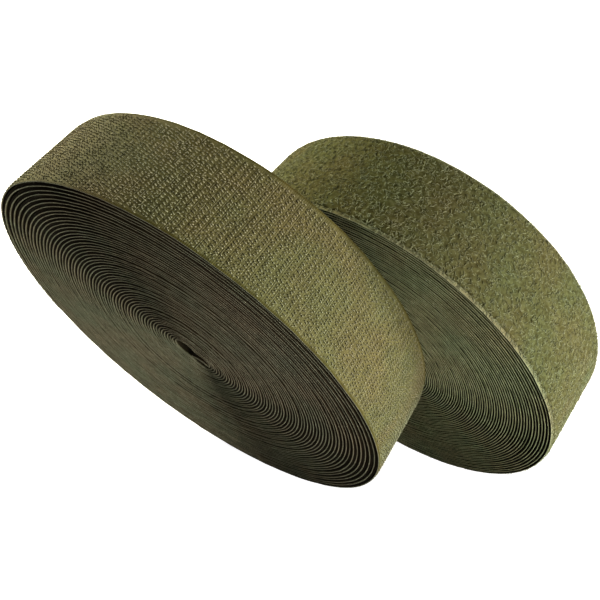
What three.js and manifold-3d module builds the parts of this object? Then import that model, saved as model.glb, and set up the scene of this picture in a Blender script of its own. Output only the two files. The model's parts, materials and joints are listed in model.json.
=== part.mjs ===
// A matched pair of hook and loop tape rolls, each one tape wound on itself without a core.
// Both rolls stand on their rims. The hook tape's roll is in front, and the loop tape's roll
// leans its near face on the hook roll's back. Millimetres, +Z up, +Y along the hook roll's axis.

import * as THREE from 'three';
import { mergeVertices } from 'three/addons/utils/BufferGeometryUtils.js';
import Module from 'manifold-3d';

const wasm = await Module();
wasm.setup();

// Tape sizes shared by both rolls
const TAPE_WIDTH = 50;
const SEAT_GAP = 0.1;
const WINDING_SLACK = 0.2;

// Hook tape and its roll, measured over the hooks where the roll stands
const HOOK_ROLL_RADIUS = 122;
const HOOK_RIBBON_THICKNESS = 0.75;
const HOOK_HEIGHT = 1.1;
const HOOK_SELVEDGE = 2.2;

// Loop tape and its roll, measured over the loops where the roll stands
const LOOP_ROLL_RADIUS = 103;
const LOOP_RIBBON_THICKNESS = 0.6;
const LOOP_HEIGHT = 0.65;
const LOOP_SELVEDGE = 3;

// The windings: the outer turns are wound, and one solid holds the turns inside them
const WOUND_TURNS = 23;
const STEPS_PER_TURN = 24;
const INNER_TURNS_GAP = 0.3;

// The eye that the first turn is folded into, as seen on a roll's near face
const EYE_LENGTH = 23;
const EYE_WIDTH = 9;
const EYE_TILT = -45;
const HOOK_EYE_RIGHT = 12.8;
const HOOK_EYE_UP = 9.8;
const LOOP_EYE_RIGHT = 6;
const LOOP_EYE_UP = 5;
const FOLD_LENGTH = 13;
const FOLD_BEND_RADIUS = 2.4;
const CURVE_STEPS = 8;

// The free end: it leaves the wound turns at a step past +X, and bends at the ends of its lengths
const FREE_END_STEP = 9;
const FREE_END_LENGTHS = 3;
const BEND_GAP = 0.3;
const PILE_BEND_GAP = 1.8;

// Where the rolls stand
const FLOOR_FLAT_DEPTH = 0.5;
const LOOP_ROLL_RIGHT = 82.7;
const LOOP_ROLL_TURN = 5.3;
const ROLLS_GAP = 0.7;

const RIBBON_ROUGHNESS = 0.85;
const PILE_ROUGHNESS = 0.95;

const STEP_ANGLE = (2 * Math.PI) / STEPS_PER_TURN;
const CORNER = 1 / Math.cos(STEP_ANGLE / 2);

// The sizes that follow from one roll's driving dimensions
function rollSizes(name, radius, ribbon, pile, selvedge, eyeRight, eyeUp) {
  const pitch = ribbon + SEAT_GAP + pile + WINDING_SLACK;
  const wound = WOUND_TURNS * STEPS_PER_TURN;
  const floorStep = wound - STEPS_PER_TURN + 0.75 * STEPS_PER_TURN - FREE_END_STEP - 0.5;
  const floorRadius = radius - pile - SEAT_GAP - ribbon;
  const axisHeight = radius - FLOOR_FLAT_DEPTH;
  return {
    name, ribbon, pile, selvedge, eyeRight, eyeUp, pitch, wound, floorStep, floorRadius, axisHeight,
  };
}

// Radius of the ribbon's inner face, square to the flat that follows a step of the spiral
function ribbonRadius(roll, step) {
  return roll.floorRadius + (roll.pitch * (step - roll.floorStep)) / STEPS_PER_TURN;
}

// Corner of the wound outline at a whole step, raised above the ribbon's inner face
function corner(roll, step, raised) {
  const angle = STEP_ANGLE * (step + FREE_END_STEP + 0.5);
  const radius = (ribbonRadius(roll, step) + raised) * CORNER;
  return new THREE.Vector2(radius * Math.cos(angle), radius * Math.sin(angle));
}

// Point on the flat between two corners, for a step that isn't whole
function onSpiral(roll, step, raised) {
  const whole = Math.floor(step);
  return corner(roll, whole, raised).lerp(corner(roll, whole + 1, raised), step - whole);
}

// Share of a flat that a length covers near a step
function shareOfFlat(roll, step, length) {
  return length / corner(roll, step, 0).distanceTo(corner(roll, step + 1, 0));
}

// Steps from one cut end to the other, through the whole corners between them
function stepsBetween(first, last) {
  const steps = [first];
  for (let step = Math.floor(first) + 1; step < last; step += 1) {
    steps.push(step);
  }
  steps.push(last);
  return steps;
}

// One unbroken strip along the spiral: four corners at each step, joined by quads and closed at both ends
function strip(roll, steps, low, high, edge) {
  const positions = [];
  for (const step of steps) {
    const inner = onSpiral(roll, step, low);
    const outer = onSpiral(roll, step, high);
    positions.push(inner.x, edge, inner.y, inner.x, TAPE_WIDTH - edge, inner.y);
    positions.push(outer.x, TAPE_WIDTH - edge, outer.y, outer.x, edge, outer.y);
  }
  const sides = 4;
  const last = (steps.length - 1) * sides;
  const faces = [0, 1, 2, 0, 2, 3, last, last + 2, last + 1, last, last + 3, last + 2];
  for (let ring = 0; ring < last; ring += sides) {
    for (let side = 0; side < sides; side += 1) {
      const here = ring + side;
      const beside = ring + ((side + 1) % sides);
      faces.push(here, here + sides, beside, beside, here + sides, beside + sides);
    }
  }
  const geometry = new THREE.BufferGeometry();
  geometry.setAttribute('position', new THREE.Float32BufferAttribute(positions, 3));
  geometry.setIndex(faces);
  return geometry;
}

// Least distance between the outer face of each turn and the inner face of the next, on corners and flats
function leastGap(roll, steps) {
  let least = Infinity;
  for (const step of steps.filter((value) => value >= STEPS_PER_TURN)) {
    const inner = onSpiral(roll, step, 0);
    for (let near = -1; near <= 1; near += 0.25) {
      const below = Math.max(0, step - STEPS_PER_TURN + near);
      least = Math.min(least, inner.distanceTo(onSpiral(roll, below, roll.ribbon)));
    }
  }
  return least;
}

// A flat outline on the near face, drawn as wide as the tape along the roll's axis
function acrossTape(shape) {
  const solid = new THREE.ExtrudeGeometry(shape, { depth: TAPE_WIDTH, bevelEnabled: false });
  return solid.rotateX(Math.PI / 2).translate(0, TAPE_WIDTH, 0);
}

// Point of the eye: along its length, then across it
function inEye(roll, along, across) {
  const point = new THREE.Vector2(along, across);
  point.rotateAround(new THREE.Vector2(), THREE.MathUtils.degToRad(EYE_TILT));
  return point.add(new THREE.Vector2(roll.eyeRight, roll.eyeUp));
}

// Points on a round bend in the eye, from one angle to another
function bend(roll, along, across, radius, from, to) {
  const points = [];
  for (let step = 0; step <= CURVE_STEPS; step += 1) {
    const angle = from + ((to - from) * step) / CURVE_STEPS;
    points.push(inEye(roll, along + radius * Math.cos(angle), across + radius * Math.sin(angle)));
  }
  return points;
}

// The turns inside the wound ones: their outline ends in the same spiral, and the eye is open
function innerTurns(roll) {
  const outline = [];
  for (let step = 0; step <= STEPS_PER_TURN; step += 1) {
    outline.push(corner(roll, step, -INNER_TURNS_GAP));
  }
  const shape = new THREE.Shape(outline);
  const radius = EYE_WIDTH / 2;
  const reach = EYE_LENGTH / 2 - radius;
  const far = bend(roll, reach, 0, radius, Math.PI / 2, -Math.PI / 2);
  const near = bend(roll, -reach, 0, radius, -Math.PI / 2, -1.5 * Math.PI);
  shape.holes.push(new THREE.Path([...far, ...near]));
  return acrossTape(shape);
}

// The tape's first length: it comes off the eye's wall, runs along the eye and folds back on itself
function startFold(roll) {
  const wall = EYE_WIDTH / 2 - SEAT_GAP;
  const middle = wall - FOLD_BEND_RADIUS - roll.ribbon;
  const outside = FOLD_BEND_RADIUS + roll.ribbon;
  const outer = bend(roll, -FOLD_LENGTH / 2, middle, outside, Math.PI / 2, 1.5 * Math.PI);
  const inner = bend(roll, -FOLD_LENGTH / 2, middle, FOLD_BEND_RADIUS, 1.5 * Math.PI, Math.PI / 2);
  const tip = [inEye(roll, 0, middle - outside), inEye(roll, 0, middle - FOLD_BEND_RADIUS)];
  const root = [inEye(roll, FOLD_LENGTH / 2, wall - roll.ribbon), inEye(roll, FOLD_LENGTH / 2, wall)];
  return acrossTape(new THREE.Shape([...outer, ...tip, ...inner, ...root]));
}

// The geometry as a solid that can be cut, with shared corners merged
function solidOf(geometry) {
  const bare = mergeVertices(geometry);
  const mesh = new wasm.Mesh({
    numProp: 3,
    vertProperties: Float32Array.from(bare.attributes.position.array),
    triVerts: Uint32Array.from(bare.index.array),
  });
  return new wasm.Manifold(mesh);
}

// The pile pressed flat where the roll stands: what would lie below the floor is cut away
function flatOnFloor(roll, geometry) {
  const size = 4 * roll.axisHeight;
  const below = new THREE.BoxGeometry(size, size, size).translate(0, 0, -roll.axisHeight - size / 2);
  below.deleteAttribute('normal');
  below.deleteAttribute('uv');
  const cut = solidOf(geometry).subtract(solidOf(below)).getMesh();
  const flat = new THREE.BufferGeometry();
  flat.setAttribute('position', new THREE.BufferAttribute(Float32Array.from(cut.vertProperties), 3));
  flat.setIndex(new THREE.BufferAttribute(Uint32Array.from(cut.triVerts), 1));
  return flat;
}

function piece(name, geometry, color, roughness) {
  const material = new THREE.MeshStandardMaterial({ color, roughness, metalness: 0 });
  const mesh = new THREE.Mesh(geometry, material);
  mesh.name = name;
  return mesh;
}

// The free end of the tape: lengths of ribbon and pile, each in a group that turns about its bend line
function freeEnd(roll, colors) {
  const pileLow = roll.ribbon + SEAT_GAP;
  const pileHigh = pileLow + roll.pile;
  let carrier = null;
  let first = null;
  let carrierPlace = new THREE.Vector2();
  for (let length = 1; length <= FREE_END_LENGTHS; length += 1) {
    const start = roll.wound + length - 1;
    const place = onSpiral(roll, start, roll.ribbon);
    const group = new THREE.Group();
    group.name = `${roll.name}_bend_${length}`;
    group.position.set(place.x - carrierPlace.x, 0, place.y - carrierPlace.y);
    const trim = shareOfFlat(roll, start, BEND_GAP / 2);
    const pileTrim = shareOfFlat(roll, start, PILE_BEND_GAP / 2);
    const ribbon = strip(roll, [start + trim, start + 1 - trim], 0, roll.ribbon, 0);
    const pile = strip(roll, [start + pileTrim, start + 1 - pileTrim], pileLow, pileHigh, roll.selvedge);
    for (const geometry of [ribbon, pile]) {
      geometry.translate(-place.x, 0, -place.y);
    }
    group.add(piece(`${roll.name}_end_ribbon_${length}`, ribbon, colors.ribbon, RIBBON_ROUGHNESS));
    group.add(piece(`${roll.name}_end_pile_${length}`, pile, colors.pile, PILE_ROUGHNESS));
    if (carrier) {
      carrier.add(group);
    } else {
      first = group;
    }
    carrier = group;
    carrierPlace = place;
  }
  return first;
}

// One roll, with its axis through the group's origin and its near face at y = 0
function tapeRoll(roll, colors) {
  const group = new THREE.Group();
  group.name = `${roll.name}_roll`;
  const trim = shareOfFlat(roll, roll.wound, BEND_GAP / 2);
  const pileTrim = shareOfFlat(roll, roll.wound, PILE_BEND_GAP / 2);
  const woundSteps = stepsBetween(0, roll.wound - trim);
  const outerSteps = stepsBetween(roll.wound - STEPS_PER_TURN, roll.wound - pileTrim);
  const pileLow = roll.ribbon + SEAT_GAP;
  const ribbon = strip(roll, woundSteps, 0, roll.ribbon, 0);
  const pile = strip(roll, outerSteps, pileLow, pileLow + roll.pile, roll.selvedge);
  group.add(piece(`${roll.name}_wound_ribbon`, ribbon, colors.ribbon, RIBBON_ROUGHNESS));
  group.add(piece(`${roll.name}_outer_pile`, flatOnFloor(roll, pile), colors.pile, PILE_ROUGHNESS));
  group.add(piece(`${roll.name}_inner_turns`, innerTurns(roll), colors.ribbon, RIBBON_ROUGHNESS));
  group.add(piece(`${roll.name}_start_fold`, startFold(roll), colors.ribbon, RIBBON_ROUGHNESS));
  group.add(freeEnd(roll, colors));
  group.position.z = roll.axisHeight;
  console.log(`${roll.name}_wound_ribbon: least gap to itself ${leastGap(roll, woundSteps).toFixed(2)} mm`);
  return group;
}

const hookSizes = rollSizes(
  'hook', HOOK_ROLL_RADIUS, HOOK_RIBBON_THICKNESS, HOOK_HEIGHT, HOOK_SELVEDGE, HOOK_EYE_RIGHT, HOOK_EYE_UP,
);
const loopSizes = rollSizes(
  'loop', LOOP_ROLL_RADIUS, LOOP_RIBBON_THICKNESS, LOOP_HEIGHT, LOOP_SELVEDGE, LOOP_EYE_RIGHT, LOOP_EYE_UP,
);

const hookRoll = tapeRoll(hookSizes, { ribbon: '#6f6b58', pile: '#706b45' });
const loopRoll = tapeRoll(loopSizes, { ribbon: '#77795a', pile: '#6d7049' });

// The loop roll's near face comes closest at the hook roll's right edge
const loopTurn = THREE.MathUtils.degToRad(LOOP_ROLL_TURN);
const overlapRight = Math.max(0, HOOK_ROLL_RADIUS + hookSizes.pitch - LOOP_ROLL_RIGHT);
loopRoll.rotation.z = -loopTurn;
loopRoll.position.x = LOOP_ROLL_RIGHT;
loopRoll.position.y = TAPE_WIDTH + ROLLS_GAP + overlapRight * Math.tan(loopTurn);

// The pair, centred over its footprint
const pair = new THREE.Group();
pair.name = 'tape_rolls';
pair.add(hookRoll, loopRoll);
pair.updateMatrixWorld(true);
const middle = new THREE.Box3().setFromObject(pair, true).getCenter(new THREE.Vector3());
pair.position.set(-middle.x, -middle.y, 0);
pair.updateMatrixWorld(true);

export default pair;
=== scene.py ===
"""Dresses a pair of standing hook and loop tape rolls, wound turn by turn, on a pale studio floor."""

import json
import math

import bpy
import numpy as np
from bpy.props import FloatProperty, FloatVectorProperty, IntProperty, PointerProperty
from mathutils import Matrix, Vector


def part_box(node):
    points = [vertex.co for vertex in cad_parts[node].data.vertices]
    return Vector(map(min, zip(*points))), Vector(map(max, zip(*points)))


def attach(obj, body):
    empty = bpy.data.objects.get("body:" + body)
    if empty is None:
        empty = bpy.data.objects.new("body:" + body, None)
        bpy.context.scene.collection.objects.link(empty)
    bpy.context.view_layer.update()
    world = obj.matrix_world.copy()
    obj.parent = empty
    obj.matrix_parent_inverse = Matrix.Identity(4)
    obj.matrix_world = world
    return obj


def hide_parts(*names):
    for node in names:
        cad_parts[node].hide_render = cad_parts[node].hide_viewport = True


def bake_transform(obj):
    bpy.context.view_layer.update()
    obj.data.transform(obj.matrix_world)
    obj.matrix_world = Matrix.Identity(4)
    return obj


bl_info = {
    "name": "Tape Rolls",
    "version": (1, 0, 0),
    "blender": (4, 5, 0),
    "location": "View3D > Sidebar > Tape Rolls",
    "description": "Winds a roll of hook tape and a roll of loop tape and sets them on a stage",
    "category": "Object",
}

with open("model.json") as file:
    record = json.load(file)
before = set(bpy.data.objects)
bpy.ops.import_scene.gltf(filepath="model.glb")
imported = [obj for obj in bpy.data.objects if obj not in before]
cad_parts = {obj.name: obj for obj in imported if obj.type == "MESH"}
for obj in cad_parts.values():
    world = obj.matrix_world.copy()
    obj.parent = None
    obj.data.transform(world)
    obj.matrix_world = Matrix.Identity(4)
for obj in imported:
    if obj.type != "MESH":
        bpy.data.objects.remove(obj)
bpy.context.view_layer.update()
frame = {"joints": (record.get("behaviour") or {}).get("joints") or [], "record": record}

MM = 0.001
TURN = 2 * math.pi
UP = np.array([0.0, 0.0, 1.0])

# The free end leaves each roll here and has a bend every 15 degrees from there on, so many steps apart
ROOT_ANGLE = math.radians(142.5)
BEND_ANGLE = math.radians(15)
FREE_BENDS = 3
FREE_STEPS = 24

# The long way of the eye slopes down to the right, and the turns round it lose its form over this distance
EYE_TILT = math.radians(-45)
EYE_FADE = 25 * MM

# Steps that a turn is wound in
STEPS_PER_TURN = 120

# The first length is folded double, in so many steps: how much of the loop there is, how far up the eye it
# reaches, how far apart its layers lie, how blunt its ends are and how far one leans on the eye's wall
FOLD_STEPS = 60
FOLD_SHARE = 0.86
FOLD_REACH = 0.95
FOLD_GAP = 1.5 * MM
FOLD_BLUNT = 0.6
FOLD_LEAN = 0.75

# The outer pile is sunk into its ribbon by so much, and the pile between turns keeps off them by as much
SEAT = 0.05 * MM

# How far the ribbon's edge stands out or in by chance
EDGE_RAGGED = 0.07 * MM

# Slow wandering and fields of blots are sums of waves: how many, how slow or how long, and how strong
DRIFT_WAVES = 9
DRIFT_SLOWEST = 0.2
MOTTLE_WAVES = 28
MOTTLE_RATES = (0.35, 0.8)
MOTTLE_GAIN = 5

# Fastest waves a turn in the winding's radius, in the turns' edges and in the edges of the pile between them
RADIUS_RATE = 3
STRAY_RATE = 1.7
INNER_RATE = 6

# Seeds of the random draws
RADIUS_SEED = 11
STRAY_SEED = 23
INNER_SEED = 31
CLUMP_SEED = 41
CLUMP_TONE_SEED = 43
FUZZ_SEED = 47
WINDING_SEED = 51
FREE_RIBBON_SEED = 52
HOOK_PATCH_SEED = 61
HOOK_SEED = 101
LOOP_SEED = 201
FREE_HOOK_SEED = 301
FREE_LOOP_SEED = 401

# Corners of a wall's face, sides of a strand, and parts that the outermost turn's strands are made in
WALL_CORNERS = 4
STRAND_SIDES = 3
FIELD_PARTS = 4

TINY = 1e-6
UV_NAME = "Tape"
FACE_NAME = "face"


def linear(hex_colour):
    """Linear RGB of an sRGB hex colour, by the sRGB curve."""
    srgb = np.array([int(hex_colour[i : i + 2], 16) for i in (1, 3, 5)]) / 255
    rgb = np.where(srgb <= 0.04045, srgb / 12.92, ((srgb + 0.055) / 1.055) ** 2.4)
    return tuple(float(channel) for channel in rgb)


def frame_width():
    """Width of the tape, which is the hook roll's width along its axis."""
    low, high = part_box("hook_wound_ribbon")
    return high.y - low.y


def length(name, description, default):
    """Settings of a property that holds a length in metres."""
    return FloatProperty(name=name, description=description, default=default, unit="LENGTH", precision=5)


def colour(name, description, hex_colour):
    """Settings of a property that holds a colour."""
    return FloatVectorProperty(
        name=name, description=description, default=linear(hex_colour), subtype="COLOR", min=0, max=1
    )


class HookTapeSettings(bpy.types.PropertyGroup):
    """Sizes and colours of the hook tape."""

    width: length("Width", "Width of the tape", frame_width())
    pitch: length("Pitch", "Distance from one turn to the next", 1.9 * MM)
    slack: length("Slack", "How much the outer turns lie off the tight winding", 7.0 * MM)
    slack_turns: FloatProperty(
        name="Slack turns", description="Turns over which the slack fades", default=7
    )
    uneven: length("Unevenness", "How far a turn strays from its place in the winding", 0.085 * MM)
    ribbon: length("Ribbon", "Thickness of the woven ground", 0.58 * MM)
    selvedge: length("Selvedge", "Plain edge on each side of the hooks", 1.1 * MM)
    shift: length("Shift", "How far the hooks lie off the middle of the tape", 0.0)
    pile: length("Hook height", "Height of the hooks over the ribbon", 1.0 * MM)
    strand: length("Filament", "Diameter of a hook's filament, drawn coarse enough to show", 0.51 * MM)
    row: length("Row spacing", "Distance between rows of hooks along the tape", 1.47 * MM)
    column: length("Column spacing", "Distance between hooks across the tape", 1.6 * MM)
    lit: length("Lit depth", "How far light reaches in between the turns", 0.9 * MM)
    eye_length: length("Eye length", "Length of the opening in the middle", 23 * MM)
    eye_width: length("Eye width", "Width of the opening in the middle", 9 * MM)
    eye_right: length("Eye right", "How far the eye lies right of the axis", 12.8 * MM)
    eye_up: length("Eye up", "How far the eye lies above the axis", 9.8 * MM)
    light: colour("Light hooks", "Hooks that catch the light", "#858067")
    dark: colour("Dark hooks", "Hooks in the dark of the field", "#716d54")
    # Painted shade: the foot of each strand is darker for the shade low among the strands
    foot_shade: colour("Stems", "Foot of each hook", "#605b3b")
    # Painted shade in part: the woven ground is made darker than the hooks for the shade that falls between
    # them
    ground: colour("Ground", "Woven ground between the hooks", "#555032")
    plain: colour("Selvedge", "Plain woven selvedge", "#453f1f")
    # Greyer edge of the ribbon, partly the turned threads and partly a painted highlight along the rim
    edge: colour("Edge", "Greyish edge of the ribbon", "#757262")
    back: colour("Back", "Coated back of the ribbon", "#5b5845")
    # Painted shade: the hook tape's front where it shows between turns is made dark brown for the shade
    # there
    front: colour("Front", "Front of the ribbon where it shows between turns", "#2e261b")
    # Painted shade: the ribbon's colour deep between the turns, made near black for the dark there
    shaded: colour("Pressed", "Ribbon in the dark between turns", "#1e190f")
    # Painted shade: the pile between the turns is coloured near black for the dark there
    depth: colour("Depth", "Hooks pressed between the turns", "#1e1911")


class LoopTapeSettings(bpy.types.PropertyGroup):
    """Sizes and colours of the loop tape."""

    width: length("Width", "Width of the tape", frame_width())
    pitch: length("Pitch", "Distance from one turn to the next", 1.25 * MM)
    slack: length("Slack", "How much the outer turns lie off the tight winding", 7.0 * MM)
    slack_turns: FloatProperty(
        name="Slack turns", description="Turns over which the slack fades", default=20
    )
    uneven: length("Unevenness", "How far a turn strays from its place in the winding", 0.045 * MM)
    ribbon: length("Ribbon", "Thickness of the woven ground", 0.45 * MM)
    selvedge: length("Selvedge", "Plain edge on each side of the loops", 1.3 * MM)
    shift: length("Shift", "How far the loops lie off the middle of the tape", 0.4 * MM)
    pile: length("Loop height", "Height of the loops over the ribbon", 0.9 * MM)
    strand: length("Fibre", "Diameter of a fibre loop, drawn coarse enough to show", 0.27 * MM)
    clump: length("Clump", "Size of the clumps that brushing leaves", 2.6 * MM)
    lit: length("Lit depth", "How far light reaches in between the turns", 0.5 * MM)
    loops: IntProperty(name="Loops", description="Fibre loops on one turn", default=26000, min=1000)
    eye_length: length("Eye length", "Length of the opening in the middle", 23 * MM)
    eye_width: length("Eye width", "Width of the opening in the middle", 9 * MM)
    eye_right: length("Eye right", "How far the eye lies right of the axis", 6 * MM)
    eye_up: length("Eye up", "How far the eye lies above the axis", 5 * MM)
    light: colour("Light fibres", "Fibres that catch the light", "#7d7e5f")
    dark: colour("Dark fibres", "Fibres in the dark of the pile", "#545334")
    # Painted shade: the foot of each strand is darker for the shade low among the strands
    foot_shade: colour("Stems", "Foot of each loop", "#3b3822")
    ground: colour("Ground", "Woven ground under the loops", "#3d3a20")
    plain: colour("Selvedge", "Smooth woven selvedge", "#737052")
    # Greyer edge of the ribbon, partly the turned threads and partly a painted highlight along the rim
    edge: colour("Edge", "Greyish edge of the ribbon", "#96987b")
    # Painted shade: the loop tape's back is made dark olive for the shade on it between the turns, and the
    # free end's open back shows the same colour
    back: colour("Back", "Coated back of the ribbon", "#3a361b")
    front: colour("Front", "Front of the ribbon where it shows between turns", "#6a6943")
    # Painted shade: the ribbon's colour deep between the turns, made near black for the dark there
    shaded: colour("Pressed", "Ribbon in the dark between turns", "#14140c")
    # Painted shade: the pile between the turns is coloured near black for the dark there
    depth: colour("Depth", "Pile pressed between the turns", "#12110a")


class StageSettings(bpy.types.PropertyGroup):
    """Light and colours of the stage."""

    floor: colour("Floor", "Pale plain floor", "#d2d2d2")
    key: FloatProperty(name="Key light", description="Power of the wide low lamp", default=71, unit="POWER")
    side: FloatProperty(
        name="Side light", description="Power of the lamp behind the left", default=39, unit="POWER"
    )
    warm: colour("Side tint", "Warm light of the side lamp", "#fff9dc")
    fill: FloatProperty(name="Sky", description="Strength of the even light all round", default=0.06, min=0)


class Roll:
    """Place and sizes of one roll, from the frame's joints and mounts and the tape's settings."""

    def __init__(self, name, tape):
        joints = {joint["name"]: joint for joint in frame["joints"]}
        mounts = {mount["name"]: mount for mount in frame["record"]["mounts"]}
        self.name = name
        self.tape = tape
        bends = [joints[f"{name}_peel_{k + 1}"] for k in range(FREE_BENDS)]
        self.bends = [np.array(bend["pos_m"]) for bend in bends]
        self.axis = np.array(bends[0]["axis"], float)
        self.side = np.array([self.axis[1], -self.axis[0], 0.0])
        foot = np.array(mounts[f"{name}_roll_foot"]["pos_m"])
        reach = (self.bends[0] - foot) @ self.side / math.cos(ROOT_ANGLE)
        height = self.bends[0][2] - reach * math.sin(ROOT_ANGLE)
        self.centre = foot + height * UP
        self.radius = reach * math.cos(BEND_ANGLE / 2) - tape.ribbon / 2
        self.eye = np.array([tape.eye_right, tape.eye_up])
        self.eye_radius = (tape.eye_length + tape.eye_width) / 4
        self.drawn = (tape.eye_length - tape.eye_width) / 4
        # The winding ends at the lower end of the eye
        part = (ROOT_ANGLE - EYE_TILT) / TURN
        wound = (self.radius - tape.slack - self.eye_radius) / tape.pitch
        self.turns = round(wound - part) + part
        self.bodies = [f"{name}_roll"] + [f"{name}_free_end_{k + 1}" for k in range(FREE_BENDS)]

    def spiral(self, turns):
        """Middle of the ribbon, so many turns in from the root of the free end, in the plane of the face.
        The radius falls by a pitch a turn, and faster over the loose outer turns. The centre moves evenly
        from the axis to the eye, and the inner turns are drawn out along the eye."""
        loose = 1 - np.exp(-np.maximum(turns, 0) / self.tape.slack_turns)
        radius = self.radius - self.tape.pitch * turns - self.tape.slack * loose
        radius = radius + drift(turns, RADIUS_SEED, self.tape.uneven, RADIUS_RATE)
        angle = ROOT_ANGLE - TURN * turns
        drawn = self.drawn * np.exp(-(radius - self.eye_radius) / EYE_FADE)
        reach = radius + drawn * np.cos(2 * (angle - EYE_TILT))
        around = np.stack([np.cos(angle), np.sin(angle)], -1)
        return around * reach[..., None] + (1 - radius / self.radius)[..., None] * self.eye

    def way(self, flat):
        """Direction in space of a direction in the plane of the face."""
        return flat[..., :1] * self.side + flat[..., 1:] * UP

    def place(self, flat, across):
        """Point in space of a point in the plane of the face, so far across the tape from its middle."""
        return self.centre + self.way(flat) + np.asarray(across)[..., None] * self.axis

    def rim(self, turns):
        """Middle of the ribbon, its outward normal and its tangent towards the free end, on the rim."""
        flat = self.spiral(turns)
        normal = flat / np.linalg.norm(flat, axis=-1, keepdims=True)
        tangent = np.stack([-normal[..., 1], normal[..., 0]], -1)
        return flat, normal, tangent

    def stray(self, turns):
        """How far a turn's edge stands out sideways: a wandering twice as wide as the radius's."""
        return drift(turns, STRAY_SEED, 2 * self.tape.uneven, STRAY_RATE)


def drift(turns, seed, size, rate):
    """Slow wandering along the tape: the mean of sine waves of random phase and of random rate, up to so
    many a turn, brought to its size by the root of their number."""
    rng = np.random.default_rng(seed)
    rates = rng.uniform(DRIFT_SLOWEST, rate, DRIFT_WAVES)
    phases = rng.uniform(0, TURN, DRIFT_WAVES)
    waves = np.sin(np.asarray(turns)[..., None] * TURN * rates + phases)
    return size * waves.mean(-1) * math.sqrt(DRIFT_WAVES)


def mottle(along, across, seed, grain):
    """Random field with blots of one size: the mean of plane waves about twice as long, any way round."""
    rng = np.random.default_rng(seed)
    ways = rng.uniform(0, TURN, MOTTLE_WAVES)
    waves = TURN / grain * rng.uniform(*MOTTLE_RATES, MOTTLE_WAVES)
    phases = rng.uniform(0, TURN, MOTTLE_WAVES)
    steps = along[..., None] * np.cos(ways) + across[..., None] * np.sin(ways)
    return np.sin(steps * waves + phases).mean(-1) * MOTTLE_GAIN


def tube_faces(rings, corners, count=1):
    """Quads between neighbouring rings of closed tubes and a flat cap on each end ring."""
    index = np.arange(count * rings * corners).reshape(count, rings, corners)
    beside = np.roll(index, -1, axis=2)
    walls = np.stack([index[:, :-1], beside[:, :-1], beside[:, 1:], index[:, 1:]], -1)
    return [walls.reshape(-1, WALL_CORNERS), index[:, 0, ::-1], index[:, -1]]


def outward(points, faces):
    """The faces turned outwards: all are reversed if the volume that they close comes out negative."""
    volume = 0.0
    for corners in faces:
        first = points[corners[:, 0]]
        for k in range(1, corners.shape[1] - 1):
            wedge = np.cross(points[corners[:, k]], points[corners[:, k + 1]])
            volume += np.einsum("ij,ij->", first, wedge)
    return faces if volume > 0 else [corners[:, ::-1] for corners in faces]


def add_piece(name, points, faces, uv, material, smooth=True, face=None):
    """Mesh object at the origin from points, faces grouped by their number of corners, a UV per point and,
    on a ribbon, a value per point: 2 on an open back, 1 on a wound back, 0 on an open front and -1 on a
    wound front. Points under the floor are lifted onto it."""
    points = np.ascontiguousarray(points.reshape(-1, 3), np.float32)
    points = points - np.minimum(points[:, 2:], 0) * UP.astype(np.float32)
    faces = outward(points.astype(float), faces)
    loops = np.concatenate([corners.ravel() for corners in faces]).astype(np.int32)
    totals = np.concatenate([np.full(len(corners), corners.shape[1], np.int32) for corners in faces])
    starts = np.concatenate([[0], np.cumsum(totals)[:-1]]).astype(np.int32)
    mesh = bpy.data.meshes.new(name)
    mesh.vertices.add(len(points))
    mesh.vertices.foreach_set("co", points.ravel())
    mesh.loops.add(len(loops))
    mesh.loops.foreach_set("vertex_index", loops)
    mesh.polygons.add(len(totals))
    mesh.polygons.foreach_set("loop_start", starts)
    mesh.polygons.foreach_set("loop_total", totals)
    mesh.polygons.foreach_set("use_smooth", np.full(len(totals), smooth))
    layer = mesh.uv_layers.new(name=UV_NAME)
    layer.uv.foreach_set("vector", uv.reshape(-1, 2)[loops].astype(np.float32).ravel())
    if face is not None:
        values = mesh.attributes.new(FACE_NAME, "FLOAT", "POINT")
        values.data.foreach_set("value", face.astype(np.float32).ravel())
    mesh.materials.append(material)
    mesh.update(calc_edges=True)
    # Caps of a ribbon or of the felt have sharp rims, so that light runs on evenly from length to length
    capped = np.zeros(len(points), bool)
    for corners in faces:
        capped[corners] |= corners.shape[1] > WALL_CORNERS
    ends = np.empty(2 * len(mesh.edges), np.int32)
    mesh.edges.foreach_get("vertices", ends)
    mesh.edges.foreach_set("use_edge_sharp", capped[ends].reshape(-1, 2).all(1))
    if mesh.validate():
        raise RuntimeError(f"{name} has faulty faces")
    piece = bpy.data.objects.new(name, mesh)
    bpy.context.scene.collection.objects.link(piece)
    return piece


def carried(roll, path, normal, offsets, across):
    """Points of a section carried along a path: each point lies off the path along its normal and so far
    across the tape."""
    flat = path[:, None, :] + normal[:, None, :] * offsets[..., None]
    return roll.place(flat, across)


def path_normals(path):
    """Normals of a path that runs clockwise inwards: its direction turned a quarter turn to the left."""
    along = np.gradient(path, axis=0)
    along = along / np.linalg.norm(along, axis=1, keepdims=True)
    return np.stack([-along[:, 1], along[:, 0]], -1)


def path_lengths(path):
    """Length along a path at each of its points."""
    steps = np.linalg.norm(np.diff(path, axis=0), axis=1)
    return np.concatenate([[0], np.cumsum(steps)])


# Round edge of the ribbon, in halves of its thickness: how high each point lies and how far in from the edge
EDGE_RISE = np.array([1.0, 0.78, 0.0, -0.78, -1.0])
EDGE_INSET = np.array([0.9, 0.25, 0.0, 0.25, 0.9])


def ribbon_section(tape):
    """Offsets and places across of the ribbon's section: a flat strip whose two edges are half round."""
    half = tape.ribbon / 2
    inset = EDGE_INSET * half
    offsets = np.concatenate([EDGE_RISE, EDGE_RISE[::-1]]) * half
    across = np.concatenate([inset - tape.width / 2, tape.width / 2 - inset[::-1]])
    return offsets, across


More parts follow.
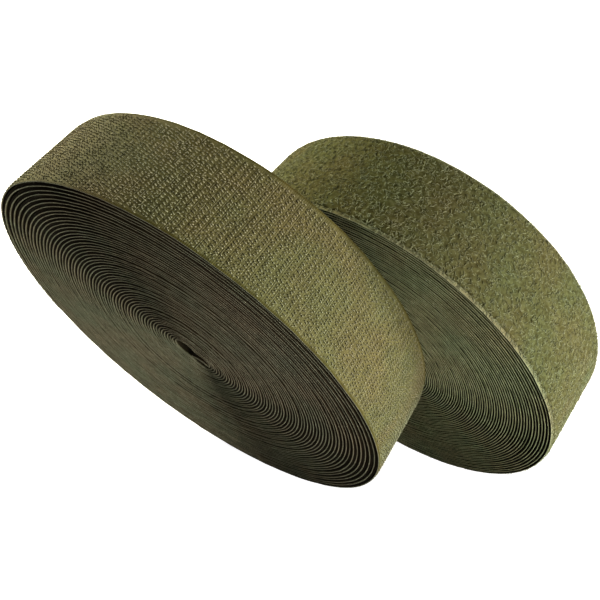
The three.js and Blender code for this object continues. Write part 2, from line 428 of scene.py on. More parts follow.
def ribbon_piece(roll, name, path, normal, turns, run, seed, material, open_back):
    """Ribbon along a path: its section carried along, with edges that stand out or in by a little chance.
    An open back is one that no turn covers."""
    offsets, across = ribbon_section(roll.tape)
    rng = np.random.default_rng(seed)
    shape = (len(path), len(offsets))
    near = across < 0
    ragged = rng.normal(0, EDGE_RAGGED, (len(path), 2))
    sideways = across + roll.stray(turns)[:, None] + np.where(near, ragged[:, :1], ragged[:, 1:])
    points = carried(roll, path, normal, np.broadcast_to(offsets, shape), sideways)
    uv = np.stack(np.broadcast_arrays(run[:, None], across), -1)
    share = offsets / offsets.max()
    # Where a turn covers the ribbon, its colour is painted dark as the shade between the turns
    covered = np.clip((turns[:, None] - 1) * STEPS_PER_TURN, 0, 1)
    face = np.where(share < 0, -share * (2 if open_back else 1), -share * covered)
    return add_piece(name, points, tube_faces(*shape), uv, material, face=face)


def add(tree, kind, sockets=(), **settings):
    """Adds a node with its settings, and sets each socket, by name or number, to a value or links it to an
    output."""
    made = tree.nodes.new(kind)
    for key, value in settings.items():
        setattr(made, key, value)
    for socket, value in dict(sockets).items():
        if isinstance(value, bpy.types.NodeSocket):
            tree.links.new(value, made.inputs[socket])
        else:
            made.inputs[socket].default_value = value
    return made


def opaque(rgb):
    """Colour with full alpha."""
    return (*rgb, 1.0)


def new_material(name):
    """Empty node material and its tree."""
    material = bpy.data.materials.new(name)
    material.use_nodes = True
    tree = material.node_tree
    tree.nodes.clear()
    return material, tree


def mixed(tree, share, first, second, **settings):
    """Colour that goes from the first to the second by a share."""
    made = add(tree, "ShaderNodeMix", {0: share, 6: first, 7: second}, data_type="RGBA", **settings)
    return made.outputs[2]


def ramp(tree, value, span, ends=(0.0, 1.0), **settings):
    """Value that goes from one end to the other as another value crosses a span."""
    sockets = {0: value, 1: span[0], 2: span[1], 3: ends[0], 4: ends[1]}
    return add(tree, "ShaderNodeMapRange", sockets, **settings).outputs[0]


def computed(tree, operation, *values):
    """Result of an operation on one or two values."""
    return add(tree, "ShaderNodeMath", enumerate(values), operation=operation).outputs[0]


def noise(tree, size, detail):
    """Random value in space, with blots of a size."""
    place = add(tree, "ShaderNodeTexCoord")
    sockets = {"Vector": place.outputs["Object"], "Scale": 1 / size, "Detail": detail}
    return add(tree, "ShaderNodeTexNoise", sockets).outputs["Fac"]


# Refractive index of nylon
NYLON_IOR = 1.53

# Tints and size of the patches where the dye took more brown or more green, and the noise that they span
BROWN_PATCH = linear("#fff8ee")
GREEN_PATCH = linear("#f4fdf3")
PATCH_SIZE = 25 * MM
PATCH_SPAN = (0.35, 0.65)


def finish_nylon(tree, tone, roughness, gloss, relief=()):
    """Ends a material as nylon: its tone with slow patches of brown and green, its roughness and gloss and,
    if it has relief, the height, strength and depth of that."""
    share = ramp(tree, noise(tree, PATCH_SIZE, 2), PATCH_SPAN)
    tint = mixed(tree, share, opaque(BROWN_PATCH), opaque(GREEN_PATCH))
    sockets = {
        "Base Color": mixed(tree, 1.0, tone, tint, blend_type="MULTIPLY"),
        "Roughness": roughness,
        "IOR": NYLON_IOR,
        "Specular IOR Level": gloss,
    }
    if relief:
        height, strength, depth = relief
        bump = add(tree, "ShaderNodeBump", {"Height": height, "Strength": strength, "Distance": depth})
        sockets["Normal"] = bump.outputs[0]
    shader = add(tree, "ShaderNodeBsdfPrincipled", sockets)
    add(tree, "ShaderNodeOutputMaterial", {0: shader.outputs[0]})


# Distance between the bands of a wave texture at scale 1
WAVE_UNIT = 0.314

# Ribs of 0.9 mm stand for threads of 0.4 mm, which are too fine to show
RIB_SPACING = 0.9 * MM
RIB_DEPTH = 0.15 * MM
RIB_STRENGTH = 0.5
RIB_WAVER = 0.6

# Roughness and gloss of the ribbon
RIBBON_FINISH = (0.72, 0.02)

# Blots where the dye took unevenly, and specks of lint: their size, the noise that they span and their tones
BLOT_SIZE = 5 * MM
BLOT_SPAN = (0.3, 0.7)
BLOT_TONES = (0.72, 1.12)
LINT_SIZE = 1.25 * MM
LINT_SPAN = (0.62, 0.72)
LINT_TONES = (0.0, 0.4)

# Where the value of a point's face turns to that of a back, of an open back and of a wound front
BACK_SPAN = (0.3, 0.8)
OPEN_SPAN = (1.0, 1.2)
UNDER_SPAN = (-0.3, -0.8)

# Blur of the selvedge's border, where the greyer edge, partly a painted highlight, begins and is full, from
# the rim, and the share of the lit depth that is fully lit
SELVEDGE_BLUR = 0.2 * MM
EDGE_BAND = (0.16 * MM, 0.04 * MM)
FULLY_LIT = 0.3


def woven_nylon(name, tape):
    """Woven nylon ribbon. Fine cross ribs, a slightly greyer edge, partly where the turned threads scatter
    light and partly a painted highlight, painted shade on the faces that lie between turns deeper than the
    lit depth, specks of lint, and slow changes of tone along the tape."""
    material, tree = new_material(name)
    uv = add(tree, "ShaderNodeUVMap", uv_map=UV_NAME).outputs[0]
    across = add(tree, "ShaderNodeSeparateXYZ", {0: uv}).outputs[1]
    waves = {"Vector": uv, "Scale": WAVE_UNIT / RIB_SPACING, "Distortion": RIB_WAVER}
    ribs = add(tree, "ShaderNodeTexWave", waves).outputs["Fac"]
    away = computed(tree, "ABSOLUTE", computed(tree, "SUBTRACT", across, tape.shift))
    bare = tape.width / 2 - tape.selvedge
    side = ramp(tree, away, (bare - SELVEDGE_BLUR, bare + SELVEDGE_BLUR))
    outer = computed(tree, "ABSOLUTE", across)
    rim = tape.width / 2
    edge = ramp(tree, outer, (rim - EDGE_BAND[0], rim - EDGE_BAND[1]))
    # Painted shade: between the turns the ribbon goes from its lit colour to the shaded colour deeper than
    # the lit depth
    lit_share = ramp(tree, outer, (rim - tape.lit, rim - FULLY_LIT * tape.lit))
    # Wound backs are 1, open backs 2 and wound fronts -1
    face = add(tree, "ShaderNodeAttribute", attribute_name=FACE_NAME).outputs["Fac"]
    behind = ramp(tree, face, BACK_SPAN)
    under = ramp(tree, face, UNDER_SPAN)
    bright = computed(tree, "MAXIMUM", ramp(tree, face, OPEN_SPAN), lit_share)
    shaded = opaque(tape.shaded)
    front = mixed(tree, side, opaque(tape.ground), opaque(tape.plain))
    coated_and_shaded = mixed(tree, bright, shaded, opaque(tape.back))
    body = mixed(tree, behind, front, coated_and_shaded)
    turned = mixed(tree, lit_share, shaded, opaque(tape.front))
    wound = mixed(tree, under, body, turned)
    cut = mixed(tree, edge, wound, opaque(tape.edge))
    lint = ramp(tree, noise(tree, LINT_SIZE, 2), LINT_SPAN, LINT_TONES)
    blots = ramp(tree, noise(tree, BLOT_SIZE, 3), BLOT_SPAN, BLOT_TONES)
    whole = mixed(tree, 1.0, cut, computed(tree, "ADD", blots, lint), blend_type="MULTIPLY")
    finish_nylon(tree, whole, *RIBBON_FINISH, (ribs, RIB_STRENGTH, RIB_DEPTH))
    return material


# How far up a strand the painted shade at its foot reaches, as a share, and its roughness and gloss
HOOK_FINISH = (0.4, 0.6, 0.05)
LOOP_FINISH = (0.02, 0.75, 0.15)


def strand_nylon(name, tape, foot_shade_share, roughness, gloss):
    """Nylon strands. Each has its own tone, over a foot painted darker as the shade low among the strands.
    """
    material, tree = new_material(name)
    uv = add(tree, "ShaderNodeUVMap", uv_map=UV_NAME)
    split = add(tree, "ShaderNodeSeparateXYZ", {0: uv.outputs[0]})
    own = mixed(tree, split.outputs[0], opaque(tape.dark), opaque(tape.light))
    foot = ramp(tree, split.outputs[1], (0.0, foot_shade_share), interpolation_type="SMOOTHSTEP")
    finish_nylon(tree, mixed(tree, foot, opaque(tape.foot_shade), own), roughness, gloss)
    return material


# Blots of the brushed pile, a little smaller than a clump: their size, the noise that they span, their depth
# and its strength, and the pile's roughness and gloss
FELT_CELL = 1.8 * MM
FELT_SPAN = (0.33, 0.67)
FELT_DEPTH = 0.4 * MM
FELT_STRENGTH = 0.6
FELT_FINISH = (0.9, 0.02)


def brushed_felt(name, first, second):
    """Brushed nylon pile. Soft blots of two tones, about as large as the clumps, and hardly any gloss."""
    material, tree = new_material(name)
    blots = noise(tree, FELT_CELL, 2)
    tone = mixed(tree, ramp(tree, blots, FELT_SPAN), opaque(first), opaque(second))
    finish_nylon(tree, tone, *FELT_FINISH, (blots, FELT_STRENGTH, FELT_DEPTH))
    return material


def fold_path(roll, start):
    """Path of the tape's first length, folded double in the lower half of the eye. From the lower end it
    goes up to the middle of the eye and back: a slim loop with blunt ends, whose upper end leans on the
    lower wall by the cube of the way from the start."""
    along = np.array([math.cos(EYE_TILT), math.sin(EYE_TILT)])
    over = np.array([-along[1], along[0]])
    turn = np.linspace(0, FOLD_SHARE * TURN, FOLD_STEPS + 1)[1:, None]
    middle = roll.eye * (1 - roll.eye_radius / roll.radius)
    from_middle = start - middle
    run = 1 - FOLD_REACH * (1 - np.cos(turn)) / 2
    apart = -FOLD_GAP / 2 * np.sign(np.sin(turn)) * np.abs(np.sin(turn)) ** FOLD_BLUNT
    lean = -FOLD_LEAN * roll.tape.eye_width / 2 * ((1 - run) / FOLD_REACH) ** 3
    ahead = from_middle @ along * run
    beside = from_middle @ over * run + apart + lean
    return middle + ahead * along + beside * over


# Pile between the turns: its most height and its height in the fold, in heights of the pile, its least
# height, and how far its edges wander
INNER_MOST = 1.3
INNER_FOLDED = 0.4
INNER_LEAST = 0.2 * MM
INNER_UNEVEN = 0.25 * MM


def wind(roll, ribbon_material, depth_material):
    """Winds a roll: the ribbon's section carried in from the free end's root to the fold in the eye, and
    the pile between each turn and the next one out as a strip that fills the gap inside the selvedges,
    coloured near black as painted shade."""
    tape = roll.tape
    steps = round(roll.turns * STEPS_PER_TURN)
    turns = np.arange(steps + 1) / STEPS_PER_TURN
    wound = roll.spiral(turns)
    path = np.concatenate([wound, fold_path(roll, wound[-1])])
    normal = path_normals(path)
    all_turns = np.concatenate([turns, turns[-1] + np.arange(1, FOLD_STEPS + 1) / STEPS_PER_TURN])
    stray = roll.stray(all_turns)
    run = path_lengths(path)
    name = f"{roll.name}_winding"
    ribbon = ribbon_piece(roll, name, path, normal, all_turns, run, WINDING_SEED, ribbon_material, False)
    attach(ribbon, roll.bodies[0])
    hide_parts(f"{roll.name}_wound_ribbon", f"{roll.name}_start_fold")

    first = STEPS_PER_TURN
    spacing = np.einsum("ij,ij->i", wound[:-first] - wound[first:], normal[first : steps + 1])
    filled = np.minimum(spacing - tape.ribbon, INNER_MOST * tape.pile)
    thick = np.concatenate([filled, np.full(FOLD_STEPS, INNER_FOLDED * tape.pile)])
    low = np.full(len(thick), tape.ribbon / 2 + SEAT)
    high = np.maximum(tape.ribbon / 2 + thick - SEAT, low + INNER_LEAST)
    uneven = drift(all_turns[first:], INNER_SEED, INNER_UNEVEN, INNER_RATE)
    inset = tape.width / 2 - tape.selvedge + uneven
    section = np.stack([low, high, high, low], -1)
    sides = np.stack([-inset, -inset, inset, inset], -1) + stray[first:, None] + tape.shift
    points = carried(roll, path[first:], normal[first:], section, sides)
    uv = np.stack(np.broadcast_arrays(run[first:, None], sides), -1)
    name = f"{roll.name}_inner_pile"
    depth = add_piece(name, points, tube_faces(*section.shape), uv, depth_material, smooth=False)
    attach(depth, roll.bodies[0])
    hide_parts(f"{roll.name}_inner_turns")


def strand_points(line, beside, thick):
    """Slim tubes round many centrelines: each ring lies round its point, square to the line."""
    along = np.gradient(line, axis=1)
    along = along / np.linalg.norm(along, axis=2, keepdims=True)
    beside = np.broadcast_to(beside[:, None, :], along.shape)
    over = np.cross(beside, along)
    corner = np.arange(STRAND_SIDES) * TURN / STRAND_SIDES
    ring = np.cos(corner)[:, None] * beside[:, :, None, :] + np.sin(corner)[:, None] * over[:, :, None, :]
    return line[:, :, None, :] + thick[:, :, None, None] * ring


# Least share of its height that a strand keeps on the floor
LEAST_SHARE = 0.05


def floor_share(base, normal, height):
    """Share of a strand's height that fits over the floor where the roll stands on it."""
    down = np.maximum(-normal[:, 2], TINY)
    return np.clip(base[:, 2] / down / height, LEAST_SHARE, 1)


def strand_piece(name, line, beside, thick, tone, share, material):
    """One piece of many strands. Its UV holds each strand's own tone and how far each point of it is from
    the foot, as a share."""
    count, rings = line.shape[:2]
    points = strand_points(line, beside, thick)
    uv = np.broadcast_arrays(tone[:, None, None], share[:, :, None], np.zeros((1, 1, STRAND_SIDES)))[:2]
    return add_piece(name, points, tube_faces(rings, STRAND_SIDES, count), np.stack(uv, -1), material)


# Share of a hook's reach and of its height along its filament, how it thins, and how far it reaches
HOOK_REACH = np.array([0.0, 0.1, 0.35, 0.75, 1.0])
HOOK_RISE = np.array([-0.1, 0.29, 0.54, 0.64, 0.52])
HOOK_TAPER = np.array([1.0, 1.0, 0.95, 0.9, 0.65])
HOOK_LENGTH = 0.8 * MM

# Share of the hooks that face against their row, how far each one is turned, how far it strays along and
# across the tape, and how much lower every second row is
HOOK_REVERSED = 0.15
HOOK_YAW = 0.3
HOOK_STRAY = (0.06 * MM, 0.2 * MM)
HOOK_LOWER = 0.2

# How much heights and reaches differ, how low the hooks are at the selvedge and from how far in, the
# strength and size of the patches of tone, and after how many rows the columns line up again
HOOK_HEIGHTS = (0.84, 1.04)
HOOK_REACHES = (0.8, 1.15)
HOOK_EDGE_SHARE = 0.55
HOOK_EDGE = 2.5 * MM
HOOK_PATCH = 0.2
HOOK_PATCH_SIZE = 7 * MM
ROW_REPEAT = 4

# Raised threads across the field: their thickness, the short lengths that each one shows as, how far up a
# hook their colour is taken from, which gives them part of the foot's painted shade, the tones of every
# first and second thread, how much a length's tone differs, and how low and how high a length lies over
# the ribbon, in thicknesses
WEFT_RIB = 0.45 * MM
WEFT_LENGTHS = 13
WEFT_SHARE = 0.2
WEFT_TONES = (0.4, 0.0)
WEFT_TONE_STRAY = 0.25
WEFT_RISE = (-0.85, 0.1)


def hooks(roll, first, last, seed, name, material):
    """Hooks between two places on the rim, in turns from the root, in rows across the tape, each moved a
    quarter of a column. A filament rises from the ground and bends over. Rows face each other in turn, a few
    hooks face against their row, and raised threads lie across the tape between the pairs of rows."""
    tape = roll.tape
    rng = np.random.default_rng(seed)
    step = tape.row / (TURN * roll.radius)
    rows = np.arange(math.ceil(first / step), math.ceil(last / step))
    field = tape.width - 2 * tape.selvedge
    columns = np.arange(int(field / tape.column)) * tape.column - field / 2 + 0.5 * tape.column
    row, column = (grid.ravel() for grid in np.meshgrid(rows, np.arange(len(columns)), indexing="ij"))
    count = len(row)
    turns = row * step
    flat, normal, tangent = roll.rim(turns)
    moved = (row % ROW_REPEAT - (ROW_REPEAT - 1) / 2) * tape.column / ROW_REPEAT
    across = columns[column] - moved + tape.shift
    across = across + rng.normal(0, HOOK_STRAY[1], count)
    base = flat + normal * (tape.ribbon / 2 - SEAT) + tangent * rng.normal(0, HOOK_STRAY[0], (count, 1))
    root = roll.place(base, across + roll.stray(turns))
    out = roll.way(normal)
    yaw = rng.normal(0, HOOK_YAW, count)
    against = rng.uniform(0, 1, count) < HOOK_REVERSED
    yaw = yaw + np.where((row % 2 == 1) ^ against, math.pi, 0)
    lean = roll.way(tangent) * np.cos(yaw)[:, None] + roll.axis * np.sin(yaw)[:, None]
    inside = np.clip((field / 2 - np.abs(across - tape.shift)) / HOOK_EDGE, 0, 1)
    edge_share = HOOK_EDGE_SHARE + (1 - HOOK_EDGE_SHARE) * inside
    height = tape.pile * rng.uniform(*HOOK_HEIGHTS, count) * edge_share
    height = height * np.where(row % 2 == 0, 1, 1 - HOOK_LOWER)
    height = height * floor_share(root, out, height)
    reach = HOOK_LENGTH * rng.uniform(*HOOK_REACHES, count)
    line = (
        root[:, None, :]
        + out[:, None, :] * (height[:, None] * HOOK_RISE)[..., None]
        + lean[:, None, :] * (reach[:, None] * HOOK_REACH)[..., None]
    )
    thick = np.broadcast_to(tape.strand / 2 * HOOK_TAPER, line.shape[:2])
    beside = np.cross(out, lean)
    share = np.broadcast_to(np.linspace(0, 1, len(HOOK_REACH)), line.shape[:2])
    ribbed = rows[rows % 2 == 0]
    ribs, ribs_beside = weft_ribs(roll, (ribbed + 0.5) * step, rng)
    line = np.concatenate([line, ribs])
    beside = np.concatenate([beside, ribs_beside])
    thick = np.concatenate([thick, np.full(ribs.shape[:2], WEFT_RIB / 2)])
    share = np.concatenate([share, np.full(ribs.shape[:2], WEFT_SHARE)])
    patchy = HOOK_PATCH * mottle(turns * TURN * roll.radius, across, HOOK_PATCH_SEED, HOOK_PATCH_SIZE)
    hook_tone = rng.uniform(0, 1, count) + patchy
    rib_tone = np.repeat(np.where(ribbed % ROW_REPEAT == 0, *WEFT_TONES), WEFT_LENGTHS)
    rib_tone = rib_tone + rng.normal(0, WEFT_TONE_STRAY, len(ribs))
    tone = np.clip(np.concatenate([hook_tone, rib_tone]), 0, 1)
    return strand_piece(name, line, beside, thick, tone, share, material)


def weft_ribs(roll, turns, rng):
    """Raised threads across the field of hooks, in short lengths that lie higher or lower by chance, as
    lines and the directions square to them."""
    half = roll.tape.width / 2 - roll.tape.selvedge
    starts = np.linspace(-half, half, WEFT_LENGTHS + 1)[:-1]
    shares = np.linspace(0, 2 * half / WEFT_LENGTHS, len(HOOK_REACH))
    across = np.tile(starts, len(turns))[:, None] + shares + roll.tape.shift
    turns = np.repeat(turns, WEFT_LENGTHS)
    flat, normal, tangent = roll.rim(turns)
    rise = roll.tape.ribbon / 2 + WEFT_RIB * rng.uniform(*WEFT_RISE, len(turns))
    base = flat + normal * rise[:, None]
    line = roll.place(base[:, None, :], across + roll.stray(turns)[:, None])
    return line, roll.way(tangent)


# Share of the span and height along a fibre loop
LOOP_RUN = np.array([-0.5, -0.32, 0.0, 0.32, 0.5])
LOOP_RISE = np.array([-0.1, 0.72, 1.0, 0.68, -0.1])

# Fibre loops: how far up the matted pile they stand, their height in heights of the pile and how much it
# differs, the least and most span in millimetres, and how far they curl sideways
LOOP_FOOT = 0.55
LOOP_HEIGHT = 0.55
LOOP_HEIGHTS = (0.4, 1.0)
LOOP_SPANS = (1.0, 2.3)
LOOP_CURL = 0.2 * MM

# Tone of the fibre loops: its middle, how far clumps and chance move it, and the size of those clumps
# against the pile's
LOOP_TONE = 0.55
CLUMP_TONE = 0.25
LOOP_TONE_STRAY = 0.3
TONE_CLUMP = 0.9

# Share of the fibre loops that stray to the pile's edges, on the near side onto the selvedge, how far they
# stray there, how low they are and how much lighter
EDGE_FRAY = 0.08
FRAY_STRAY = 0.6 * MM
FRAY_HEIGHT = 0.6
FRAY_TONE = 0.35

# Matted pile: its height and how far the clumps move it, in heights of the pile, its steps along the tape,
# its points across, how far in its edge is rounded and how low it is there
FELT_BASE = 0.52
FELT_CLUMP = 0.16
FELT_STEP = 1.0 * MM
FELT_POINTS = 44
FELT_ROUND = 0.9 * MM
FELT_EDGE = 0.25

# Uneven edge of the matted pile: how far in it begins, how far it strays and the size of its waves
FUZZ_WIDTH = 1.2 * MM
FUZZ_STRAY = 0.3 * MM
FUZZ_GRAIN = 3 * MM


def felt_height(roll, along, across):
    """Height of the brushed pile over the ribbon: a base and the blots of the clumps."""
    clumps = mottle(along, across, CLUMP_SEED, roll.tape.clump)
    return roll.tape.pile * (FELT_BASE + FELT_CLUMP * clumps)


def felt(roll, first, last, name, material):
    """Matted body of the loop pile between two places on the rim: a strip whose upper side rises and
    falls with the clumps and rounds off to the selvedges."""
    tape = roll.tape
    steps = round(abs(last - first) * TURN * roll.radius / FELT_STEP)
    turns = np.linspace(first, last, steps + 1)
    flat, normal, _ = roll.rim(turns)
    half = tape.width / 2 - tape.selvedge
    top = np.linspace(-half, half, FELT_POINTS)
    along = turns[:, None] * TURN * roll.radius
    round_off = np.clip((half - np.abs(top)) / FELT_ROUND, 0, 1) ** 0.5
    clumps = felt_height(roll, along, np.broadcast_to(top, (len(turns), FELT_POINTS)))
    rise = clumps * (FELT_EDGE + (1 - FELT_EDGE) * round_off)
    over_floor = roll.place(flat, 0 * turns)[:, 2] / np.maximum(-normal[:, 1], TINY)
    room = np.maximum(over_floor[:, None], tape.ribbon / 2 + SEAT)
    upper = np.minimum(tape.ribbon / 2 + rise, room)
    sunk = np.full((len(turns), 1), tape.ribbon / 2 - SEAT)
    offsets = np.concatenate([upper, sunk, sunk], 1)
    places = np.concatenate([top, [half], [-half]])
    fuzz = np.where(np.abs(places) > half - FUZZ_WIDTH, FUZZ_STRAY, 0)
    edges = np.broadcast_to(np.sign(places) * half, offsets.shape)
    fuzz = fuzz * mottle(along, edges, FUZZ_SEED, FUZZ_GRAIN)
    across = places + fuzz + tape.shift + roll.stray(turns)[:, None]
    points = carried(roll, flat, normal, offsets, across)
    uv = np.stack(np.broadcast_arrays(along, across), -1)
    return add_piece(name, points, tube_faces(*offsets.shape), uv, material)


def loops(roll, first, last, seed, name, material):
    """Fibre loops between two places on the rim: each an arch, turned any way and curled a little sideways,
    that stands in the matted pile. Their tone differs from clump to clump."""
    tape = roll.tape
    rng = np.random.default_rng(seed)
    count = round(tape.loops * (last - first))
    turns = rng.uniform(first, last, count)
    half = tape.width / 2 - tape.selvedge
    across = rng.uniform(-half, half, count)
    frayed = rng.uniform(0, 1, count) < EDGE_FRAY
    astray = np.sign(across) * (half + np.abs(rng.normal(0, FRAY_STRAY, count)))
    across = np.where(frayed, np.clip(astray, -tape.width / 2, half), across)
    flat, normal, tangent = roll.rim(turns)
    within = np.clip((half - np.abs(across)) / FELT_ROUND, 0, 1)
    felt_top = felt_height(roll, turns * TURN * roll.radius, across) * within
    base = flat + normal * (tape.ribbon / 2 + LOOP_FOOT * felt_top)[:, None]
    root = roll.place(base, across + tape.shift + roll.stray(turns))
    out = roll.way(normal)
    turn = rng.uniform(0, TURN, count)
    run = roll.way(tangent) * np.cos(turn)[:, None] + roll.axis * np.sin(turn)[:, None]
    beside = np.cross(out, run)
    height = LOOP_HEIGHT * tape.pile * rng.uniform(*LOOP_HEIGHTS, count) * np.where(frayed, FRAY_HEIGHT, 1)
    height = height * floor_share(root, out, height)
    span = rng.uniform(*LOOP_SPANS, count) * MM
    curl = rng.normal(0, LOOP_CURL, count)
    line = (
        root[:, None, :]
        + out[:, None, :] * (height[:, None] * LOOP_RISE)[..., None]
        + run[:, None, :] * (span[:, None] * LOOP_RUN)[..., None]
        + beside[:, None, :] * (curl[:, None] * np.sin(LOOP_RUN * TURN))[..., None]
    )
    thick = np.broadcast_to(tape.strand / 2, line.shape[:2])
    clumped = mottle(turns * TURN * roll.radius, across, CLUMP_TONE_SEED, TONE_CLUMP * tape.clump)
    tone = LOOP_TONE + CLUMP_TONE * clumped + rng.normal(0, LOOP_TONE_STRAY, count) + FRAY_TONE * frayed
    tone = np.clip(tone, 0, 1)
    share = np.broadcast_to(np.linspace(0, 1, len(LOOP_RUN)), line.shape[:2])
    return strand_piece(name, line, beside, thick, tone, share, material)


def free_span(bend):
    """Turns from the root to the two ends of a length of the free end: a bend and the next, or the tip."""
    return -bend * BEND_ANGLE / TURN, -(bend + 1) * BEND_ANGLE / TURN


def bend_over(roll, piece, bend):
    """Bakes the placement of a length of the free end into its points. Where the bend at its near end and
    its far end lie is worked out but not used."""
    start = roll.bends[bend]
    _, far = free_span(bend)
    end = roll.place(roll.spiral(np.array(far)), 0.0)
    end = end + roll.axis * ((start - end) @ roll.axis)
    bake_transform(piece)


def free_ribbon(roll, bend, material):
    """Ribbon of one length of the free end: the ribbon's section carried along the rim."""
    near, far = free_span(bend)
    turns = np.linspace(near, far, FREE_STEPS + 1)
    flat, normal, _ = roll.rim(turns)
    run = turns * TURN * roll.radius
    name = f"{roll.name}_free_ribbon_{bend + 1}"
    piece = ribbon_piece(roll, name, flat, normal, turns, run, FREE_RIBBON_SEED, material, True)
    bend_over(roll, piece, bend)
    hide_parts(f"{roll.name}_end_ribbon_{bend + 1}")


def both_rolls():
    """The hook roll and the loop roll, from their tapes' settings."""
    scene = bpy.context.scene
    return Roll("hook", scene.hook_tape), Roll("loop", scene.loop_tape)


def material_for(name, make, *details):
    """The material of that name, made the first time that a piece asks for it."""
    return bpy.data.materials.get(name) or make(name, *details)


class WindRolls(bpy.types.Operator):
    """Wind both tapes from the free end's root to the fold in the eye"""

    bl_idname = "tape_rolls.wind"
    bl_label = "Wind Rolls"

    def execute(self, context):
        for roll in both_rolls():
            ribbon = material_for(f"woven nylon {roll.name} ribbon", woven_nylon, roll.tape)
            # The pile between the turns is painted near black, as the shade between them
            depth = material_for(
                f"pressed nylon {roll.name} pile", brushed_felt, roll.tape.depth, roll.tape.shaded
            )
            wind(roll, ribbon, depth)
        return {"FINISHED"}


class PlantHooks(bpy.types.Operator):
    """Plant the hooks on the outermost turn of the hook tape"""

    bl_idname = "tape_rolls.hooks"
    bl_label = "Plant Hooks"

    def execute(self, context):
        roll, _ = both_rolls()
        material = material_for("cut nylon hooks", strand_nylon, roll.tape, *HOOK_FINISH)
        for part in range(FIELD_PARTS):
            first, last = part / FIELD_PARTS, (part + 1) / FIELD_PARTS
            piece = hooks(roll, first, last, HOOK_SEED + part, f"hook_field_{part + 1}", material)
            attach(piece, roll.bodies[0])
            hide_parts("hook_outer_pile")
        return {"FINISHED"}


class RaiseLoops(bpy.types.Operator):
    """Raise the brushed pile and its fibre loops on the outermost turn of the loop tape"""

    bl_idname = "tape_rolls.loops"
    bl_label = "Raise Loops"

    def execute(self, context):
        _, roll = both_rolls()
        body = material_for("brushed nylon felt", brushed_felt, roll.tape.ground, roll.tape.dark)
        fibre = material_for("brushed nylon loops", strand_nylon, roll.tape, *LOOP_FINISH)
        pieces = [felt(roll, 0, 1, "loop_felt", body)]
        for part in range(FIELD_PARTS):
            first, last = part / FIELD_PARTS, (part + 1) / FIELD_PARTS
            pieces.append(loops(roll, first, last, LOOP_SEED + part, f"loop_field_{part + 1}", fibre))
        for piece in pieces:
            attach(piece, roll.bodies[0])
            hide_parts("loop_outer_pile")
        return {"FINISHED"}


class MakeFreeEnds(bpy.types.Operator):
    """Make the free end of each tape, in lengths"""

    bl_idname = "tape_rolls.free_ends"
    bl_label = "Make Free Ends"

    def execute(self, context):
        hook, loop = both_rolls()
        for roll in (hook, loop):
            ribbon = material_for(f"woven nylon {roll.name} ribbon", woven_nylon, roll.tape)
            for bend in range(FREE_BENDS):
                free_ribbon(roll, bend, ribbon)
        cut = material_for("cut nylon hooks", strand_nylon, hook.tape, *HOOK_FINISH)
        body = material_for("brushed nylon felt", brushed_felt, loop.tape.ground, loop.tape.dark)
        fibre = material_for("brushed nylon loops", strand_nylon, loop.tape, *LOOP_FINISH)
        for bend in range(FREE_BENDS):
            near, far = free_span(bend)
            number = bend + 1
            made = [
                (hook, hooks(hook, far, near, FREE_HOOK_SEED + bend, f"hook_free_hooks_{number}", cut)),
                (loop, felt(loop, near, far, f"loop_free_felt_{number}", body)),
                (loop, loops(loop, far, near, FREE_LOOP_SEED + bend, f"loop_free_loops_{number}", fibre)),
            ]
            for roll, piece in made:
                bend_over(roll, piece, bend)
                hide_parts(f"{roll.name}_end_pile_{number}")
        return {"FINISHED"}


# Camera of the photograph: where it stands, how it is turned, its lens and sensor in millimetres, and the
# nearest that it sees
CAMERA_PLACE = (0.18497, -0.15653, 0.38286)
CAMERA_AZIMUTH = math.radians(48.209)
CAMERA_ELEVATION = math.radians(47.635)
CAMERA_ROLL = math.radians(-20.329)
CAMERA_LENS = 37.916
CAMERA_SENSOR = 36
CAMERA_NEAREST = 0.01


def add_camera():
    """Camera turned by its azimuth and elevation, then rolled about its line of sight."""
    level = math.cos(CAMERA_ELEVATION)
    back = Vector(
        (math.sin(CAMERA_AZIMUTH) * level, -math.cos(CAMERA_AZIMUTH) * level, math.sin(CAMERA_ELEVATION))
    )
    right = Vector((0, 0, 1)).cross(back).normalized()
    upward = back.cross(right)
    turned = math.cos(CAMERA_ROLL) * right + math.sin(CAMERA_ROLL) * upward
    upward = back.cross(turned)
    data = bpy.data.cameras.new("camera")
    data.lens = CAMERA_LENS
    data.sensor_width = CAMERA_SENSOR
    data.clip_start = CAMERA_NEAREST
    camera = bpy.data.objects.new("camera", data)
    facing = Matrix((turned, upward, back)).transposed().to_4x4()
    camera.matrix_world = Matrix.Translation(CAMERA_PLACE) @ facing
    bpy.context.scene.collection.objects.link(camera)
    bpy.context.scene.camera = camera


def add_lamp(name, place, target, size, power, tint=(1, 1, 1)):
    """Lamp, so wide and so high, that faces a target."""
    data = bpy.data.lights.new(name, "AREA")
    data.shape = "RECTANGLE"
    data.size, data.size_y = size
    data.energy = power
    data.color = tint
    lamp = bpy.data.objects.new(name, data)
    lamp.location = place
    lamp.rotation_euler = (Vector(target) - Vector(place)).to_track_quat("-Z", "Y").to_euler()
    bpy.context.scene.collection.objects.link(lamp)


def seen_directly(tree):
    """1 where the camera, a reflection or clear material looks at a surface, and 0 where it gives light."""
    path = add(tree, "ShaderNodeLightPath").outputs
    mirrored = computed(tree, "MAXIMUM", path["Is Camera Ray"], path["Is Glossy Ray"])
    return computed(tree, "MAXIMUM", mirrored, path["Is Transmission Ray"])


# Width of the floor, and how bright the floor, over the lamps' light, and the backdrop are when looked at
FLOOR_SIZE = 6.0
FLOOR_GLOW = 0.88
BACKDROP_GLOW = 0.93
WHITE = (1, 1, 1, 1)

# Place, target and size of the wide low lamp and of the lamp behind the left
KEY_PLACE = (1.6, -0.14, 0.17)
KEY_TARGET = (0, 0, 0.1)
KEY_SIZE = (1.0, 0.3)
SIDE_PLACE = (-1.0, 0.3, 0.66)
SIDE_TARGET = (0, 0, 0.15)
SIDE_SIZE = (0.5, 0.5)


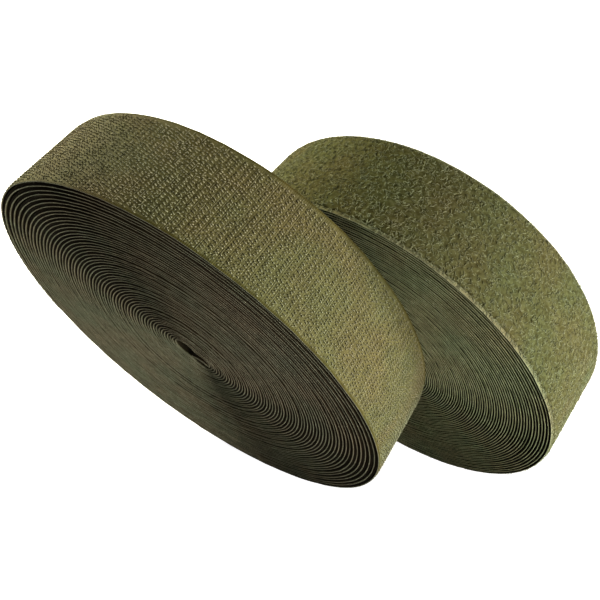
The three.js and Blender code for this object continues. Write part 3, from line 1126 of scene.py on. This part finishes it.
class SetStage(bpy.types.Operator):
    """Set the floor, the light and the camera"""

    bl_idname = "tape_rolls.stage"
    bl_label = "Set Stage"

    def execute(self, context):
        stage = context.scene.stage
        half = FLOOR_SIZE / 2
        mesh = bpy.data.meshes.new("floor")
        corners = [(-half, -half, 0), (half, -half, 0), (half, half, 0), (-half, half, 0)]
        mesh.from_pydata(corners, [], [(0, 1, 2, 3)])
        floor = bpy.data.objects.new("floor", mesh)
        context.scene.collection.objects.link(floor)
        material, tree = new_material("matt paper floor")
        matt = add(tree, "ShaderNodeBsdfDiffuse", {"Color": opaque(stage.floor)})
        share = computed(tree, "MULTIPLY", seen_directly(tree), FLOOR_GLOW)
        glow = add(tree, "ShaderNodeEmission", {"Color": WHITE, "Strength": share})
        both = add(tree, "ShaderNodeAddShader", {0: matt.outputs[0], 1: glow.outputs[0]})
        add(tree, "ShaderNodeOutputMaterial", {0: both.outputs[0]})
        mesh.materials.append(material)

        world = bpy.data.worlds.new("studio")
        world.use_nodes = True
        tree = world.node_tree
        tree.nodes.clear()
        sky = add(tree, "ShaderNodeBackground", {"Color": WHITE, "Strength": stage.fill})
        white = add(tree, "ShaderNodeBackground", {"Color": WHITE, "Strength": BACKDROP_GLOW})
        either = {0: seen_directly(tree), 1: sky.outputs[0], 2: white.outputs[0]}
        backdrop = add(tree, "ShaderNodeMixShader", either)
        add(tree, "ShaderNodeOutputWorld", {0: backdrop.outputs[0]})
        context.scene.world = world

        add_lamp("key lamp", KEY_PLACE, KEY_TARGET, KEY_SIZE, stage.key)
        add_lamp("side lamp", SIDE_PLACE, SIDE_TARGET, SIDE_SIZE, stage.side, stage.warm)
        add_camera()
        context.scene.view_settings.view_transform = "Standard"
        return {"FINISHED"}


class TapeRollsPanel(bpy.types.Panel):
    """Lists the steps that make the rolls"""

    bl_idname = "VIEW3D_PT_tape_rolls"
    bl_label = "Tape Rolls"
    bl_space_type = "VIEW_3D"
    bl_region_type = "UI"
    bl_category = "Tape Rolls"

    def draw(self, context):
        for step in STEPS:
            self.layout.operator(step.bl_idname)
        for group in (context.scene.hook_tape, context.scene.loop_tape, context.scene.stage):
            box = self.layout.box()
            for key in group.bl_rna.properties.keys():
                if key not in ("rna_type", "name"):
                    box.prop(group, key)


STEPS = (SetStage, WindRolls, PlantHooks, RaiseLoops, MakeFreeEnds)
GROUPS = (HookTapeSettings, LoopTapeSettings, StageSettings)


def register():
    """Registers the settings, the steps and the panel."""
    for made in (*GROUPS, *STEPS, TapeRollsPanel):
        bpy.utils.register_class(made)
    bpy.types.Scene.hook_tape = PointerProperty(type=HookTapeSettings)
    bpy.types.Scene.loop_tape = PointerProperty(type=LoopTapeSettings)
    bpy.types.Scene.stage = PointerProperty(type=StageSettings)


def unregister():
    """Takes away what register added."""
    del bpy.types.Scene.stage
    del bpy.types.Scene.loop_tape
    del bpy.types.Scene.hook_tape
    for made in reversed((*GROUPS, *STEPS, TapeRollsPanel)):
        bpy.utils.unregister_class(made)


def main():
    """Registers the add-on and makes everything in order."""
    register()
    bpy.ops.tape_rolls.stage()
    bpy.ops.tape_rolls.wind()
    bpy.ops.tape_rolls.hooks()
    bpy.ops.tape_rolls.loops()
    bpy.ops.tape_rolls.free_ends()


if __name__ == "__main__":
    main()
